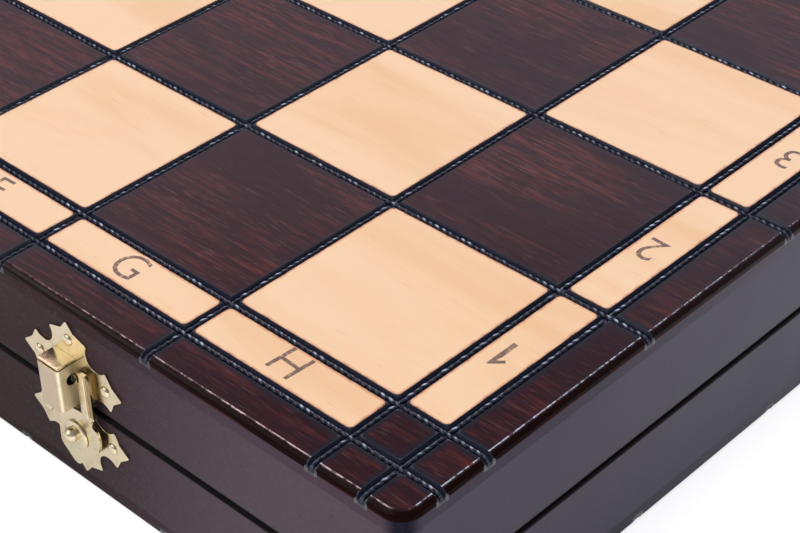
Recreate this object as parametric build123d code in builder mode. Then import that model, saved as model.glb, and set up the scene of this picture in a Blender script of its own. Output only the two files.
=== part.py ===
from build123d import *
from math import cos, radians, sin, sqrt, tan
import os

# Folding chess box, closed: a lid and a base whose outer faces are the two halves of the board.
#
# X runs along the files (A at -X, H at +X), Y from the latch side to the fold, and Z up. The origin
# is the middle of the box's footprint, on the surface that it rests on. All lengths are millimetres.

# --- Board ---------------------------------------------------------------------------------
SQUARE = 40.0  # width of a square, from groove middle to groove middle
RANK = 40.8  # its length from the latch side towards the fold
FILES = 8
HALF_RANKS = 4  # ranks on each half of the board
STRIP = 11.0  # letter and number strip beside the squares
BORDER = 9.0  # plain wood outside the strip
GROOVE_WIDTH = 2.1  # at the board's face
GROOVE_FLOOR = 1.3  # at the bottom of a groove
GROOVE_DEPTH = 0.8

# --- Case ----------------------------------------------------------------------------------
HALF_HEIGHT = 21.5  # base and lid are equally high
PANEL = 4.0  # thickness of the board panels
RAIL = 8.0  # thickness of the walls
CORNER_R = 4.5  # upright corners of the case
EDGE_R = 1.6  # rounding between board and wall
RIM_R = 1.1  # rounding of both outer rims, which show as a dark line between the halves
LINING = 1.0  # felt on the floor of each half
LINING_GAP = 0.3  # from the felt to the walls

# --- Hinges --------------------------------------------------------------------------------
HINGE_X = 97.0  # each hinge's middle from the middle of the box
HINGE_LENGTH = 30.0
KNUCKLES = 3
KNUCKLE_R = 1.6
KNUCKLE_GAP = 0.2  # between neighbouring knuckles
TURNING_GAP = 0.3  # round a knuckle
LEAF = 0.8  # thickness of a leaf
LEAF_WIDTH = 6.9  # from the pin's axis to a leaf's inner edge
FOLD_GAP = 0.15  # from the back wall to the pin's axis
PIN_R = 0.8
PIN_FIT = 0.05  # radial, pin in knuckle
SCREW_SPACING = 20.0  # between the two screws of a leaf
SCREW_EDGE = 2.6  # from a leaf's inner edge to its screws
SCREW_R = 0.9
SCREW_HEAD_R = 1.6
SCREW_TAPER = 90.0  # degrees, the countersunk head's whole angle
SCREW_LENGTH = 7.0
FIXING_FIT = 0.05  # round leaves, screws, nails and tabs in what they are let into

# --- Latches, both alike -------------------------------------------------------------------
LATCH_X = 99.0  # each latch's middle from the middle of the box
PLATE = 0.4  # thickness of the stamped plates
PLATE_LIFT = 0.8  # from the seam up to the lid's plate
PLATE_DROP = 0.1  # from the seam down to the base's plate
NECK = 9.8  # width of a plate at the seam
NECK_HEIGHT = 1.0  # of the neck's straight sides
SIDE_X = 9.1  # middle of each side lobe, where its nail is
SIDE_Y = 6.2
LOBE_REACH = 4.5  # from the middle of a side lobe to its points
LOBE_LOW = -78.0  # degrees to a side lobe's point beside the seam
LOBE_HIGH = 84.0  # degrees to its point beside the crown
LOBE_HOLLOW = 2.75  # from the middle of a side lobe to its two hollows
HOLLOW_ANGLE = 46.0  # degrees to the hollows, up and down
SEAM_BITE_X = 6.8  # highest place of the hollow between neck and side lobe
SEAM_BITE_Y = 2.95
BITE = 2.9  # depth of the hollow between side lobe and crown
CROWN_X = 5.2  # side point of the crown
CROWN_Y = 13.95
CROWN_HOLLOW_X = 1.7
CROWN_HOLLOW_Y = 15.1
CROWN_TOP = 17.2
CROWN_NAIL_Y = 13.1
POINT_R = 0.4  # rounding of the outline's points and hollows
NAIL_R = 0.5
NAIL_HEAD_R = 1.2
NAIL_TOP_R = 0.7  # flat top of the head
NAIL_HEAD = 0.6
NAIL_LENGTH = 6.0  # behind the plate

KEEPER_X = -1.2  # bent box on the lid's plate, its middle from the latch's
KEEPER_WIDTH = 6.1
KEEPER_HEIGHT = 10.2
KEEPER_DEPTH = 4.5
KEEPER_LIFT = 0.5  # from the seam up to its open lower end
KEEPER_WALL = 0.55
KEEPER_BEND = 1.0  # outer radius of its bent corners
FLAP_GAP = 0.15  # open seam between its top flap and its sides
FLAP_BACK = 0.3  # from the plate to the top flap
TAB_HEIGHT = 3.0  # tabs that hold it in the plate
TAB_LIFT = 4.5  # from the keeper's lower end to the tabs' middle
SLOT_LENGTH = 2.6  # slot for the hook's nose
SLOT_HEIGHT = 2.4
SLOT_BACK = 0.25  # from the plate to the slot
SLOT_DROP = 0.05  # slot's middle below the nose's, for the nose's arc

RIVET_X = 0.75  # hook's pivot to the right of the latch's middle
RIVET_DROP = 6.0  # hook's pivot below the seam
RIVET_R = 0.8
RIVET_FIT = 0.05  # radial, hook on rivet
BALL_R = 1.42  # the rivet's head is a ball with a flat underside
BALL_LIFT = 0.6  # ball's middle above its underside
SHOULDER_R = 2.2  # rivet's shoulder, which lifts the hook over the nails
PEEN_R = 2.0  # rivet's back end, in a pocket of the wall
PEEN = 0.5
PEEN_GAP = 0.2
WASHER_R = 3.05
WASHER = 0.5  # thickness round its hole
WASHER_RIM = 0.25  # thickness at its rim
WASHER_HOLE_R = 1.3
WASHER_HANG = 0.45  # the loose washer hangs on the rivet

HOOK = 0.55  # thickness
HOOK_LIFT = 0.85  # from the plate to the hook
STACK_GAP = 0.05  # between shoulder, hook, washer and rivet head
HOOK_DISC_R = 5.2
CHEEK = (1.6, 0.7)  # round bulge of the disc below the arm, from the pivot
CHEEK_R = 4.85
BUMP = (-3.6, -4.6)  # lower left bulge
BUMP_R = 1.75
TAIL = (-1.3, -7.0)  # lowest bulge
TAIL_R = 1.5
NOTCH = (5.9, 4.2)  # finger notch between the arm's foot and the disc
NOTCH_R = 1.2
ARM_X = 4.0  # arm's middle, to the right of the pivot
ARM_WIDTH = 3.2
ARM_TOP = 15.4  # arm's end above the pivot
ARM_END_R = 1.3
NOSE_TIP = -0.7  # beyond the pivot
NOSE_Y = 13.0  # nose's middle above the pivot
NOSE_HEIGHT = 1.2
NOSE_R = 0.25

# --- Worked out from the sizes above ---------------------------------------------------------
FIELD_X = FILES * SQUARE / 2
EDGE_STRIP = STRIP + BORDER
WIDTH = 2 * (FIELD_X + EDGE_STRIP)
DEPTH = HALF_RANKS * RANK + EDGE_STRIP
FRONT_Y = -DEPTH / 2
BACK_Y = DEPTH / 2
TURN_X = WIDTH / 2 - EDGE_R  # where the rounding of the side edges begins
TURN_Y = FRONT_Y + EDGE_R  # and that of the front edge
SEAM_Z = HALF_HEIGHT
RAIL_HEIGHT = HALF_HEIGHT - PANEL
TRAY_X = WIDTH - 2 * RAIL
TRAY_Y = DEPTH - 2 * RAIL
HINGE_Y = BACK_Y + FOLD_GAP
LEAF_Y = HINGE_Y - LEAF_WIDTH
SCREW_Y = LEAF_Y + SCREW_EDGE
KNUCKLE_PITCH = (HINGE_LENGTH + KNUCKLE_GAP) / KNUCKLES
KNUCKLE_LENGTH = KNUCKLE_PITCH - KNUCKLE_GAP
SCREW_HEAD = (SCREW_HEAD_R - SCREW_R) / tan(radians(SCREW_TAPER / 2))  # depth of the head
PIVOT_Z = SEAM_Z - RIVET_DROP
HOOK_BACK = PLATE + HOOK_LIFT  # from the wall
WASHER_BACK = HOOK_BACK + HOOK + STACK_GAP
HEAD_BACK = WASHER_BACK + WASHER + STACK_GAP
HEAD_R = sqrt(BALL_R**2 - BALL_LIFT**2)  # of the ball's flat underside
BALL_OUT = HEAD_BACK + BALL_LIFT
SIDES = {"left": -1, "right": 1}
BASE, LID = -1, 1  # which way each half lies from the seam
QUARTER_TURN = 90.0

os.makedirs("parts", exist_ok=True)


def save(piece, name):
    """Labels a finished piece and writes it as its own file."""
    piece.part.label = name
    export_step(piece.part, f"parts/{name}.step")


# --- Board panels: grooves run from edge to edge, and fade out over the rounded edges -----------
GROOVES_X = [file * SQUARE - FIELD_X for file in range(FILES + 1)]
GROOVES_X += [-FIELD_X - STRIP, FIELD_X + STRIP]
GROOVES_Y = [FRONT_Y + EDGE_STRIP + rank * RANK for rank in range(HALF_RANKS)]
GROOVES_Y += [FRONT_Y + BORDER]


def groove_section():
    """A groove's cross-section, whose x points out of the board."""
    with BuildSketch() as section:
        with BuildLine():
            Polyline(
                (0, -GROOVE_WIDTH / 2),
                (-GROOVE_DEPTH, -GROOVE_FLOOR / 2),
                (-GROOVE_DEPTH, GROOVE_FLOOR / 2),
                (0, GROOVE_WIDTH / 2),
                close=True,
            )
        make_face()
    return section.sketch


def board_panel(half):
    """The board panel of the lid or of the base.

    At the front and side edges a groove turns down on an axis that lies deeper than the rounding's
    own, so that it has run out where the rounding meets the wall.
    """
    inner_z = SEAM_Z + half * RAIL_HEIGHT
    face_z = inner_z + half * PANEL
    turn_z = face_z - half * (GROOVE_DEPTH + EDGE_R)
    out = (0, 0, half)
    section = groove_section()
    front_ends = [Plane((x, TURN_Y, face_z), x_dir=out, z_dir=(0, 1, 0)) for x in GROOVES_X]
    with BuildPart() as panel:
        with BuildSketch(Plane.XY.offset(inner_z)):
            RectangleRounded(WIDTH, DEPTH, CORNER_R)
        extrude(amount=half * PANEL)
        face_edges = panel.edges().filter_by_position(Axis.Z, face_z, face_z)
        fillet(face_edges, EDGE_R)
        with BuildSketch(*front_ends):
            add(section)
        extrude(amount=DEPTH, mode=Mode.SUBTRACT)
        with BuildSketch(*front_ends):
            add(section)
        front_axis = Axis((0, TURN_Y, turn_z), (half, 0, 0))
        revolve(axis=front_axis, revolution_arc=QUARTER_TURN, mode=Mode.SUBTRACT)
        with BuildSketch(*[Plane((0, y, face_z), x_dir=out, z_dir=(1, 0, 0)) for y in GROOVES_Y]):
            add(section)
        extrude(amount=TURN_X, both=True, mode=Mode.SUBTRACT)
        for x in (-TURN_X, TURN_X):
            with BuildSketch(*[Plane((x, y, face_z), x_dir=out, z_dir=(1, 0, 0)) for y in GROOVES_Y]):
                add(section)
            side_axis = Axis((x, 0, turn_z), (0, half * x, 0))
            revolve(axis=side_axis, revolution_arc=QUARTER_TURN, mode=Mode.SUBTRACT)
    return panel


save(board_panel(BASE), "base_panel")
save(board_panel(LID), "lid_panel")


# --- Fasteners, each made once along Z with its seat at the origin, and placed where it is used --
with BuildPart() as nail:  # tapered head on the plate, and a plain shank
    with BuildSketch(Plane.XZ):
        with BuildLine():
            Polyline(
                (0, NAIL_HEAD),
                (0, -PLATE - NAIL_LENGTH),
                (NAIL_R, -PLATE - NAIL_LENGTH),
                (NAIL_R, 0),
                (NAIL_HEAD_R, 0),
                (NAIL_TOP_R, NAIL_HEAD),
                close=True,
            )
        make_face()
    revolve(axis=Axis.Z)

with BuildPart() as screw:  # flat countersunk head flush with the leaf, and a plain shank
    with BuildSketch(Plane.XZ):
        with BuildLine():
            Polyline(
                (0, 0),
                (0, -SCREW_LENGTH),
                (SCREW_R, -SCREW_LENGTH),
                (SCREW_R, -SCREW_HEAD),
                (SCREW_HEAD_R, 0),
                close=True,
            )
        make_face()
    revolve(axis=Axis.Z)

with BuildPart() as rivet:  # peened end behind the plate, shoulder under the hook, shank, ball head
    with BuildSketch(Plane.XZ):
        with BuildLine():
            Polyline(
                (0, BALL_OUT + BALL_R),
                (0, -PEEN),
                (PEEN_R, -PEEN),
                (PEEN_R, 0),
                (RIVET_R, 0),
                (RIVET_R, PLATE),
                (SHOULDER_R, PLATE),
                (SHOULDER_R, HOOK_BACK - STACK_GAP),
                (RIVET_R, HOOK_BACK - STACK_GAP),
                (RIVET_R, HEAD_BACK),
                (HEAD_R, HEAD_BACK),
            )
            ThreePointArc((HEAD_R, HEAD_BACK), (BALL_R, BALL_OUT), (0, BALL_OUT + BALL_R))
        make_face()
    revolve(axis=Axis.Z)


def latch_plane(side, half, out=0.0):
    """The front wall at a latch. Local x, y start at the latch's middle on the seam, z points out.

    On the base it is turned by half a turn, so that y leads away from the seam on both halves.
    """
    origin = (SIDES[side] * LATCH_X, FRONT_Y - out, SEAM_Z)
    return Plane(origin, x_dir=(half, 0, 0), z_dir=(0, -1, 0))


def pivot_plane(side, out=0.0, drop=0.0):
    """The plane of the front wall with its origin on a hook's pivot."""
    origin = (SIDES[side] * LATCH_X + RIVET_X, FRONT_Y - out, PIVOT_Z - drop)
    return Plane(origin, x_dir=(1, 0, 0), z_dir=(0, -1, 0))


def plate_edge(half):
    """Where a plate begins, from the seam."""
    return PLATE_LIFT if half == LID else PLATE_DROP


def nail_places(half):
    """A plate's nails on its latch plane. The hook's disc covers the outer lobe of the base's."""
    start = plate_edge(half)
    places = [(-SIDE_X, start + SIDE_Y), (SIDE_X, start + SIDE_Y)]
    return places + [(0, start + CROWN_NAIL_Y)] if half == LID else places


def nail_planes(half, out=0.0):
    """Every nail of one half of the box."""
    return [
        Plane(plane.from_local_coords((x, y, 0)), x_dir=plane.x_dir, z_dir=plane.z_dir)
        for plane in (latch_plane(side, half, out) for side in SIDES)
        for x, y in nail_places(half)
    ]


def screw_planes(half):
    """Every hinge screw of one half, on the face of its leaf that looks at the seam."""
    z = SEAM_Z + half * (KNUCKLE_R - LEAF)
    return [
        Plane((SIDES[side] * HINGE_X + end * SCREW_SPACING / 2, SCREW_Y, z), z_dir=(0, 0, -half))
        for side in SIDES
        for end in (-1, 1)
    ]


# --- Walls: four mitred rails on each panel --------------------------------------------------
def rail_ring(half):
    """All four walls of one half, before the mitres are cut."""
    with BuildPart() as ring:
        with BuildSketch(Plane.XY.offset(SEAM_Z)):
            RectangleRounded(WIDTH, DEPTH, CORNER_R)
            Rectangle(TRAY_X, TRAY_Y, mode=Mode.SUBTRACT)
        extrude(amount=half * RAIL_HEIGHT)
        rim = ring.faces().filter_by_position(Axis.Z, SEAM_Z, SEAM_Z)[0]
        fillet(rim.outer_wire().edges(), RIM_R)
    return ring.part


def mitred_rail(ring, outward):
    """The wall of a ring on the outward side, cut at 45 degrees at both corners."""
    toward = Vector(*outward)
    with BuildPart() as rail:
        add(ring)
        split(bisect_by=Plane((0, 0, 0), z_dir=toward), keep=Keep.TOP)
        for end in (-1, 1):
            along = Vector(-toward.Y, toward.X) * end
            corner = (toward + along).X * WIDTH / 2, (toward + along).Y * DEPTH / 2
            split(bisect_by=Plane((*corner, 0), z_dir=toward - along), keep=Keep.TOP)
    return rail.part


def front_rail(ring, half):
    """Front wall with its nail holes and, in the base, the pockets of the rivets' back ends."""
    with BuildPart() as rail:
        add(mitred_rail(ring, (0, -1)))
        with Locations(*nail_planes(half)):
            Hole(NAIL_R + FIXING_FIT, depth=NAIL_LENGTH + FIXING_FIT)
        if half == BASE:
            with Locations(*[pivot_plane(side) for side in SIDES]):
                Hole(PEEN_R + PEEN_GAP, depth=PEEN + PEEN_GAP)
    return rail


def back_rail(ring, half):
    """Back wall with a mortise for each leaf, room round the knuckles, and the screws' holes."""
    length = HINGE_LENGTH + 2 * FIXING_FIT
    starts = [SIDES[side] * HINGE_X - length / 2 for side in SIDES]
    planes = [Plane.YZ.offset(start) for start in starts]
    with BuildPart() as rail:
        add(mitred_rail(ring, (0, 1)))
        with BuildSketch(*planes):
            with BuildLine():
                Polyline(
                    (LEAF_Y - FIXING_FIT, SEAM_Z),
                    (LEAF_Y - FIXING_FIT, SEAM_Z + half * KNUCKLE_R),
                    (HINGE_Y, SEAM_Z + half * KNUCKLE_R),
                    (HINGE_Y, SEAM_Z),
                    close=True,
                )
            make_face()
            with Locations((HINGE_Y, SEAM_Z)):
                Circle(KNUCKLE_R + TURNING_GAP)
        extrude(amount=length, mode=Mode.SUBTRACT)
        with Locations(*screw_planes(half)):
            Hole(SCREW_R + FIXING_FIT, depth=SCREW_LENGTH + FIXING_FIT)
    return rail


for half, prefix in ((BASE, "base"), (LID, "lid")):
    walls = rail_ring(half)
    save(front_rail(walls, half), f"{prefix}_front_rail")
    save(back_rail(walls, half), f"{prefix}_back_rail")
    for side, sign in SIDES.items():
        with BuildPart() as side_rail:
            add(mitred_rail(walls, (sign, 0)))
        save(side_rail, f"{prefix}_{side}_rail")


# --- Felt linings ------------------------------------------------------------------------------
for half, prefix in ((BASE, "base"), (LID, "lid")):
    with BuildPart() as lining:
        with BuildSketch(Plane.XY.offset(SEAM_Z + half * RAIL_HEIGHT)):
            Rectangle(TRAY_X - 2 * LINING_GAP, TRAY_Y - 2 * LINING_GAP)
        extrude(amount=-half * LINING)
    save(lining, f"{prefix}_lining")


# --- Hinges ------------------------------------------------------------------------------------
def hinge_leaf(side, half):
    """A leaf with its knuckles. The base's leaf has the outer ones and the lid's the ones between."""
    start = SIDES[side] * HINGE_X - HINGE_LENGTH / 2
    inner_z = SEAM_Z + half * (KNUCKLE_R - LEAF)
    outer_z = SEAM_Z + half * KNUCKLE_R
    own = range(0 if half == BASE else 1, KNUCKLES, 2)
    other = range(1 if half == BASE else 0, KNUCKLES, 2)
    with BuildPart() as leaf:
        with BuildSketch(Plane.YZ.offset(start)):
            with BuildLine():
                Polyline(
                    (LEAF_Y, inner_z),
                    (LEAF_Y, outer_z),
                    (HINGE_Y, outer_z),
                    (HINGE_Y, inner_z),
                    close=True,
                )
            make_face()
        extrude(amount=HINGE_LENGTH)
        for index in other:
            with BuildSketch(Plane.YZ.offset(start + index * KNUCKLE_PITCH - KNUCKLE_GAP)):
                with Locations((HINGE_Y, SEAM_Z)):
                    Circle(KNUCKLE_R + TURNING_GAP)
            extrude(amount=KNUCKLE_LENGTH + 2 * KNUCKLE_GAP, mode=Mode.SUBTRACT)
        with BuildSketch(*[Plane.YZ.offset(start + index * KNUCKLE_PITCH) for index in own]):
            with Locations((HINGE_Y, SEAM_Z)):
                Circle(KNUCKLE_R)
        extrude(amount=KNUCKLE_LENGTH)
        with BuildSketch(Plane.YZ.offset(start)):
            with Locations((HINGE_Y, SEAM_Z)):
                Circle(PIN_R + PIN_FIT)
        extrude(amount=HINGE_LENGTH, mode=Mode.SUBTRACT)
        screws = [plane for plane in screw_planes(half) if plane.origin.X * SIDES[side] > 0]
        with Locations(*screws):
            CounterSinkHole(
                SCREW_R + FIXING_FIT,
                SCREW_HEAD_R + FIXING_FIT,
                depth=2 * LEAF,
                counter_sink_angle=SCREW_TAPER,
            )
    return leaf


for side, sign in SIDES.items():
    save(hinge_leaf(side, BASE), f"hinge_base_leaf_{side}")
    save(hinge_leaf(side, LID), f"hinge_lid_leaf_{side}")
    with BuildPart() as hinge_pin:
        with BuildSketch(Plane.YZ.offset(sign * HINGE_X - HINGE_LENGTH / 2)):
            with Locations((HINGE_Y, SEAM_Z)):
                Circle(PIN_R)
        extrude(amount=HINGE_LENGTH)
    save(hinge_pin, f"hinge_pin_{side}")

for half, prefix in ((BASE, "base"), (LID, "lid")):
    with BuildPart() as screws:
        with Locations(*screw_planes(half)):
            add(screw.part)
    save(screws, f"hinge_{prefix}_screws")


# --- Latch plates: a neck at the seam, two side lobes of three points each, and a crown ---------
def lobe_place(reach, angle):
    """A place on a side lobe, at an angle from +x round the lobe's middle."""
    return SIDE_X + reach * cos(radians(angle)), SIDE_Y + reach * sin(radians(angle))


def plate_outline():
    """A plate's outline, from its edge at the seam upwards."""
    low = lobe_place(LOBE_REACH, LOBE_LOW)
    outer = lobe_place(LOBE_REACH, 0)
    high = lobe_place(LOBE_REACH, LOBE_HIGH)
    low_hollow = lobe_place(LOBE_HOLLOW, -HOLLOW_ANGLE)
    high_hollow = lobe_place(LOBE_HOLLOW, HOLLOW_ANGLE)
    shoulder = (CROWN_X, CROWN_Y)
    with BuildSketch() as outline:
        with BuildLine():
            Polyline((0, CROWN_TOP), (0, 0), (NECK / 2, 0), (NECK / 2, NECK_HEIGHT))
            ThreePointArc((NECK / 2, NECK_HEIGHT), (SEAM_BITE_X, SEAM_BITE_Y), low)
            Polyline(low, low_hollow, outer, high_hollow, high)
            SagittaArc(high, shoulder, BITE)
            Polyline(shoulder, (CROWN_HOLLOW_X, CROWN_HOLLOW_Y), (0, CROWN_TOP))
        make_face()
        mirror(about=Plane.YZ)
        fillet(outline.vertices().filter_by(lambda point: point.Y > NECK_HEIGHT + POINT_R), POINT_R)
    return outline.sketch


def latch_plate(side, half):
    """The stamped plate of one half of a latch."""
    start = plate_edge(half)
    face = latch_plane(side, half)
    edge_plane = Plane(face.from_local_coords((0, start, 0)), x_dir=face.x_dir, z_dir=face.z_dir)
    tab_x = (KEEPER_WIDTH - KEEPER_WALL) / 2
    tab_y = KEEPER_LIFT + TAB_LIFT
    with BuildPart() as plate:
        with BuildSketch(edge_plane):
            add(plate_outline())
        extrude(amount=PLATE)
        with BuildSketch(face):
            with Locations(*nail_places(half)):
                Circle(NAIL_R + FIXING_FIT)
            if half == BASE:
                with Locations((-RIVET_X, RIVET_DROP)):
                    Circle(RIVET_R + FIXING_FIT)
            else:
                with Locations((KEEPER_X - tab_x, tab_y), (KEEPER_X + tab_x, tab_y)):
                    Rectangle(KEEPER_WALL + 2 * FIXING_FIT, TAB_HEIGHT + 2 * FIXING_FIT)
        extrude(amount=PLATE, mode=Mode.SUBTRACT)
    return plate


# --- Keepers: a bent box with an open lower end and a slot in its right side ---------------------
def latch_keeper(side):
    """The box that the hook's nose enters."""
    face = latch_plane(side, LID, PLATE)
    middle_y = KEEPER_LIFT + KEEPER_HEIGHT / 2
    right_x = face.origin.X + KEEPER_X + KEEPER_WIDTH / 2
    slot_y = face.origin.Y - SLOT_BACK - SLOT_LENGTH / 2
    slot_z = PIVOT_Z + NOSE_Y - SLOT_DROP
    with BuildPart() as keeper:
        with BuildSketch(face):
            with Locations((KEEPER_X, middle_y)):
                Rectangle(KEEPER_WIDTH, KEEPER_HEIGHT)
        extrude(amount=KEEPER_DEPTH)
        front = keeper.faces().sort_by(Axis.Y)[0]
        fillet(front.edges().sort_by(Axis.Z)[1:], KEEPER_BEND)
        back = keeper.faces().sort_by(Axis.Y)[-1]
        lower_end = keeper.faces().sort_by(Axis.Z)[0]
        offset(amount=-KEEPER_WALL, openings=[back, lower_end])
        with BuildSketch(face):
            with Locations((KEEPER_X, KEEPER_LIFT + KEEPER_HEIGHT - KEEPER_WALL)):
                Rectangle(KEEPER_WIDTH, FLAP_GAP, align=(Align.CENTER, Align.MAX))
        extrude(amount=KEEPER_DEPTH - KEEPER_BEND, mode=Mode.SUBTRACT)
        with BuildSketch(face):
            with Locations((KEEPER_X, KEEPER_LIFT + KEEPER_HEIGHT)):
                Rectangle(KEEPER_WIDTH, KEEPER_WALL, align=(Align.CENTER, Align.MAX))
        extrude(amount=FLAP_BACK, mode=Mode.SUBTRACT)
        with BuildSketch(Plane((right_x, slot_y, slot_z), x_dir=(0, 1, 0), z_dir=(1, 0, 0))):
            SlotOverall(SLOT_LENGTH, SLOT_HEIGHT)
        extrude(amount=-KEEPER_WALL, mode=Mode.SUBTRACT)
        with BuildSketch(face):
            with GridLocations(KEEPER_WIDTH - KEEPER_WALL, 0, 2, 1):
                with Locations((KEEPER_X, KEEPER_LIFT + TAB_LIFT)):
                    Rectangle(KEEPER_WALL, TAB_HEIGHT)
        extrude(amount=-PLATE)
    return keeper


# --- Hooks: a disc with bulges on the rivet, an arm, and a nose ------------------------------------
def latch_hook(side):
    """The hook, shut: its arm stands beside the keeper, with its nose in the slot."""
    arm_left = ARM_X - ARM_WIDTH / 2
    with BuildSketch() as disc:
        Circle(HOOK_DISC_R)
        with Locations(CHEEK):
            Circle(CHEEK_R)
        with Locations(BUMP):
            Circle(BUMP_R)
        with Locations(TAIL):
            Circle(TAIL_R)
        make_hull()
    with BuildSketch() as arm:
        with Locations((arm_left, 0)):
            Rectangle(ARM_WIDTH, ARM_TOP, align=Align.MIN)
        fillet(arm.vertices().group_by(Axis.Y)[-1], ARM_END_R)
    with BuildSketch() as nose:
        with Locations((NOSE_TIP, NOSE_Y)):
            Rectangle(ARM_X - NOSE_TIP, NOSE_HEIGHT, align=(Align.MIN, Align.CENTER))
        fillet(nose.vertices().group_by(Axis.X)[0], NOSE_R)
    with BuildPart() as hook:
        with BuildSketch(pivot_plane(side, HOOK_BACK)):
            add([disc.sketch, arm.sketch, nose.sketch])
            Circle(RIVET_R + RIVET_FIT, mode=Mode.SUBTRACT)
            with Locations(NOTCH):
                Circle(NOTCH_R, mode=Mode.SUBTRACT)
        extrude(amount=HOOK)
    return hook


# --- Washers: low cones with a hole -----------------------------------------------------------------
with BuildPart() as cone_washer:
    with BuildSketch(Plane.XZ):
        with BuildLine():
            Polyline(
                (WASHER_HOLE_R, 0),
                (WASHER_R, 0),
                (WASHER_R, WASHER_RIM),
                (WASHER_HOLE_R, WASHER),
                close=True,
            )
        make_face()
    revolve(axis=Axis.Z)

for side in SIDES:
    save(latch_plate(side, BASE), f"latch_base_plate_{side}")
    save(latch_plate(side, LID), f"latch_lid_plate_{side}")
    save(latch_keeper(side), f"latch_keeper_{side}")
    save(latch_hook(side), f"latch_hook_{side}")
    with BuildPart() as placed_rivet:
        with Locations(pivot_plane(side)):
            add(rivet.part)
    save(placed_rivet, f"latch_rivet_{side}")
    with BuildPart() as placed_washer:
        with Locations(pivot_plane(side, WASHER_BACK, WASHER_HANG)):
            add(cone_washer.part)
    save(placed_washer, f"latch_washer_{side}")

for half, prefix in ((BASE, "base"), (LID, "lid")):
    with BuildPart() as nails:
        with Locations(*nail_planes(half, PLATE)):
            add(nail.part)
    save(nails, f"latch_{prefix}_nails")
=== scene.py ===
import math
import random

import bmesh
import bpy
from mathutils import Matrix, Vector


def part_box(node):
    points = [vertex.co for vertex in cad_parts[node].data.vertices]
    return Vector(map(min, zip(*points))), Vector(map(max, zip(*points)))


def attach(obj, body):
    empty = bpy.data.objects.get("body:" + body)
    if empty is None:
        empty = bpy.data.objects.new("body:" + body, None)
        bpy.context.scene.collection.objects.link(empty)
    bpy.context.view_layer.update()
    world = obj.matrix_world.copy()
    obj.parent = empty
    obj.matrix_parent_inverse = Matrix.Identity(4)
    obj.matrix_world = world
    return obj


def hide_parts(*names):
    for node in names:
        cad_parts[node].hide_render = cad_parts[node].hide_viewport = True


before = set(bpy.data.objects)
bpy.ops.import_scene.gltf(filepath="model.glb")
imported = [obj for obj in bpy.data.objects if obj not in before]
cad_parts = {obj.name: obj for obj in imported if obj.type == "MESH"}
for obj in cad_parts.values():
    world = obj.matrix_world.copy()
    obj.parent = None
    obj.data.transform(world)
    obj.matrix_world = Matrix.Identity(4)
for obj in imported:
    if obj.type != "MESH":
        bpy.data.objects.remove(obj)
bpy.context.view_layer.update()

# Folding chess box seen over its H1 corner. X runs along the letters, Y from the latches to the fold.
# All lengths are metres.

# --- Board, as in the solids ---------------------------------------------------------------------
SQUARE = 0.040  # across, along the letters
RANK = 0.0408  # from the latch side towards the fold
FILES = "ABCDEFGH"
RANKS = 4  # on each half
FIELD_X = 0.160  # half of the width of the squares
FIELD_Y = -0.0716  # front edge of the squares
FOLD_Y = 0.0916
STRIP = 0.011
BORDER = 0.009
HALF_WIDTH = 0.180
TOP_Z = 0.043
SEAM_Z = 0.0215
RIM_R = 0.0011  # rounding of the rims at the seam
CORNER_R = 0.0045  # upright corners
GROOVE_DEPTH = 0.0008
GROOVE_HALF = 0.00105
EDGE_R = 0.0016
LINING_GAP = 0.0003
STRAND_HEIGHT = 0.00068  # of the cord pressed into the grooves

# --- Latches, as in the solids ---------------------------------------------------------------------
LATCH_X = 0.099  # each latch's middle from the middle of the box
PLATE_FRONT = 0.0004  # from the wall
RIVET_X = 0.00075  # a hook's pivot to the right of the latch's middle
PIVOT_Z = 0.0155
NAIL_R = 0.0012
NAIL_HEIGHT = 0.0006
NAILS = {"lid": ((-0.0091, 0.0285), (0.0091, 0.0285), (0.0, 0.0354)), "base": ((-0.0091, 0.0152), (0.0091, 0.0152))}
HOOK_FRONT = 0.0018  # from the wall
KEEPER_LEFT, KEEPER_RIGHT = -0.0043, 0.0016  # from the latch's middle
KEEPER_LOW, KEEPER_TOP = 0.0219, 0.0319
KEEPER_FRONT = 0.0049  # from the wall
KEEPER_WALL = 0.0005
KEEPER_BEND = 0.0009
WASHER_R = 0.00305
WASHER_HANG = 0.0007  # the loose washer's middle below the pivot
WASHER_BACK, WASHER_RIM, WASHER_TOP = 0.00188, 0.00225, 0.00262  # from the wall
BALL_OUT = 0.0030
BALL_R = 0.0015
SHANK_R = 0.0007
RIDGE = ((0.00245, 0.0), (0.0025, 0.00012), (0.0035, 0.0004), (0.0045, 0.0004), (0.0046, 0.0003), (0.0046, 0.0))
RIDGE_LOW, RIDGE_HIGH = 0.0056, 0.0150  # from the pivot

# --- Camera, solved from the grid of squares -----------------------------------------------------
CAMERA = (0.33642, -0.25085, 0.25717)
AZIMUTH = 44.339
ELEVATION = 36.586
ROLL = -1.406
LENS = 91.222
SENSOR = 36.0

# --- Colours, linear -----------------------------------------------------------------------------
MAPLE = (0.93, 0.655, 0.415)
MAPLE_DEEP = (0.86, 0.545, 0.30)
SCORCH = (0.62, 0.25, 0.13)
CHAR = (0.060, 0.014, 0.010)
LACQUER = (0.018, 0.023, 0.042)
CREST_HIGHLIGHT = (0.46, 0.54, 0.70)  # painted highlight on the tops of the cord's strands
STAIN = (0.026, 0.0056, 0.0078)
STAIN_RED = (0.125, 0.023, 0.018)
STAIN_BAND = (0.014, 0.015, 0.022)
FIBRE = (0.20, 0.10, 0.09)
ROUND_RED = (0.012, 0.003, 0.003)
ROUND_LINE = (0.090, 0.022, 0.019)
WALL = (0.027, 0.0145, 0.0175)
WALL_RED = (0.042, 0.0185, 0.021)
# The next three are painted light: the front wall lighter towards +X, the right wall lighter still.
WALL_PAINTED_LIGHT = (0.103, 0.071, 0.094)
WALL_RIGHT_LIT = (0.100, 0.089, 0.118)
WALL_RIGHT_FAR_LIT = (0.140, 0.134, 0.168)
WALL_DUST = (0.16, 0.14, 0.16)
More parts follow.
